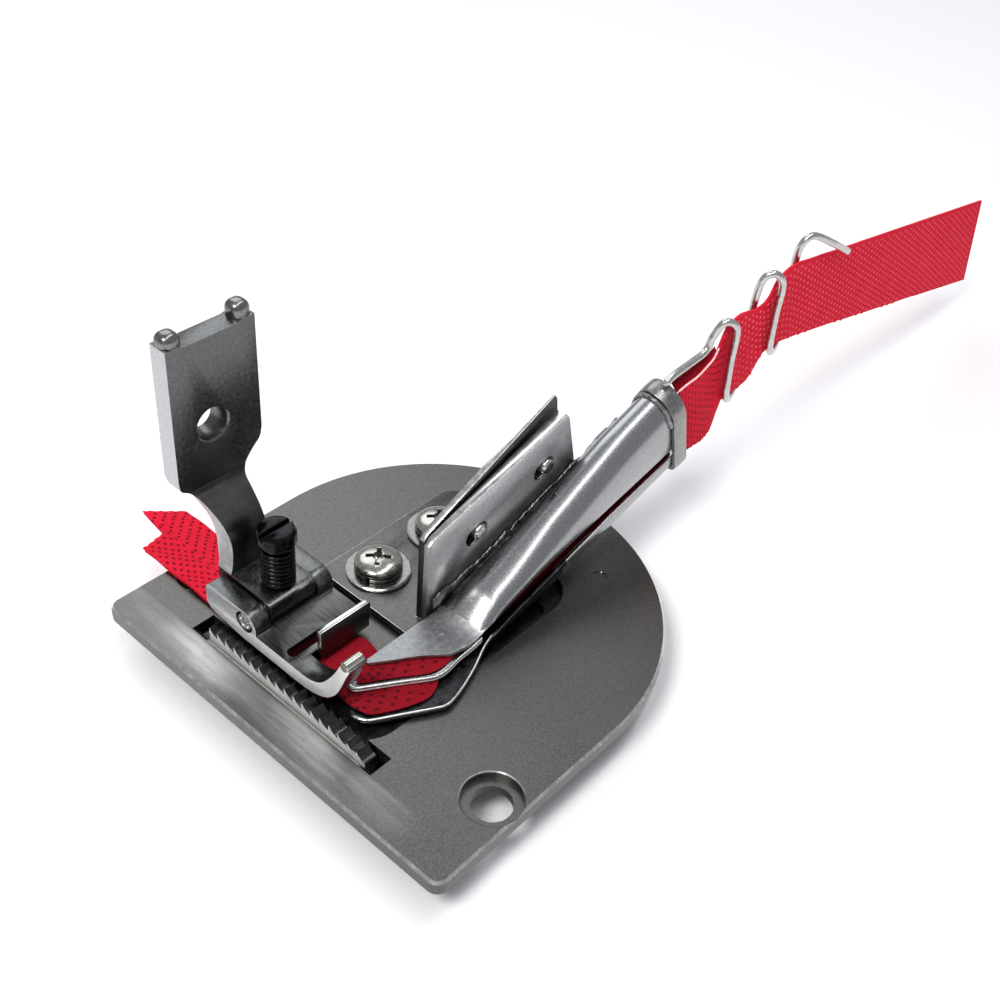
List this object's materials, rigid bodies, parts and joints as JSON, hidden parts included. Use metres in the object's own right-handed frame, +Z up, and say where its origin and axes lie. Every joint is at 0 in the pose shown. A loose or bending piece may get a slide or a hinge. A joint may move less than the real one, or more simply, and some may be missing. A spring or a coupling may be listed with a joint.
{
  "type": "right-angle tape binder set",
  "caption": "Right-angle tape binder for an industrial sewing machine: D-shaped needle plate, feed dog, hinged presser foot, rolled tape scroll, wire guide and red tape.",
  "frame": {"origin": "centre of the needle plate's round end, on the plate's underside", "axes": "+X towards the operator's right and the binder tube, +Y the feed direction, +Z up, square to the plate"},
  "size_m": [0.1745, 0.0734, 0.0496],
  "materials": {
    "plate_satin": "satin ground steel",
    "sheet_steel": "satin sheet steel",
    "polished_steel": "polished steel",
    "nickel": "nickel plate",
    "foot_steel": "hardened satin steel",
    "black_oxide": "black oxide",
    "red_tape": "embossed non-woven tape"
  },
  "bodies": {
    "plate": {"needle_plate": "plate_satin", "bracket": "sheet_steel", "bracket_screw_1": "nickel", "bracket_screw_2": "nickel", "flat_washer_1": "polished_steel", "flat_washer_2": "polished_steel", "lock_washer_1": "sheet_steel", "lock_washer_2": "sheet_steel", "flange_stud_1": "polished_steel", "flange_stud_2": "polished_steel", "tape_tail": "red_tape"},
    "feed": {"feed_dog": "polished_steel"},
    "scroll": {"scroll_flange": "sheet_steel", "scroll_upper_shell": "polished_steel", "scroll_lower_shell": "polished_steel", "scroll_tongue": "polished_steel", "tube_collar": "sheet_steel", "tape_guide_wire": "polished_steel", "tape_supply": "red_tape", "tape_in_tube": "red_tape", "tape_upper_leaf": "red_tape", "tape_lower_leaf": "red_tape"},
    "foot": {"presser_shank": "foot_steel", "hinge_pin": "polished_steel", "tension_spring": "black_oxide"},
    "sole": {"presser_sole": "foot_steel", "guide_fin": "foot_steel"},
    "tension_screw": {"tension_screw": "black_oxide"}
  },
  "joints": [
    {"name": "presser_lift", "type": "slide", "parent": "plate", "child": "foot", "axis": [0, 0, 1], "range_m": [0, 0.006]},
    {"name": "sole_tilt", "type": "hinge", "parent": "foot", "child": "sole", "pos_m": [-0.01745, 0.0122, 0.0068], "axis": [-1, 0, 0], "range_deg": [0, 6]},
    {"name": "tension_screw_turn", "type": "hinge", "parent": "foot", "child": "tension_screw", "pos_m": [-0.01745, 0.013, 0.0162], "axis": [0, 0, 1], "range_deg": [-180, 180]},
    {"name": "feed_stroke", "type": "slide", "parent": "plate", "child": "feed", "axis": [0, 1, 0], "range_m": [-0.0018, 0.0018]},
    {"name": "scroll_adjust", "type": "slide", "parent": "plate", "child": "scroll", "axis": [0.9641, 0, 0.2656], "range_m": [0, 0.0012]}
  ]
}
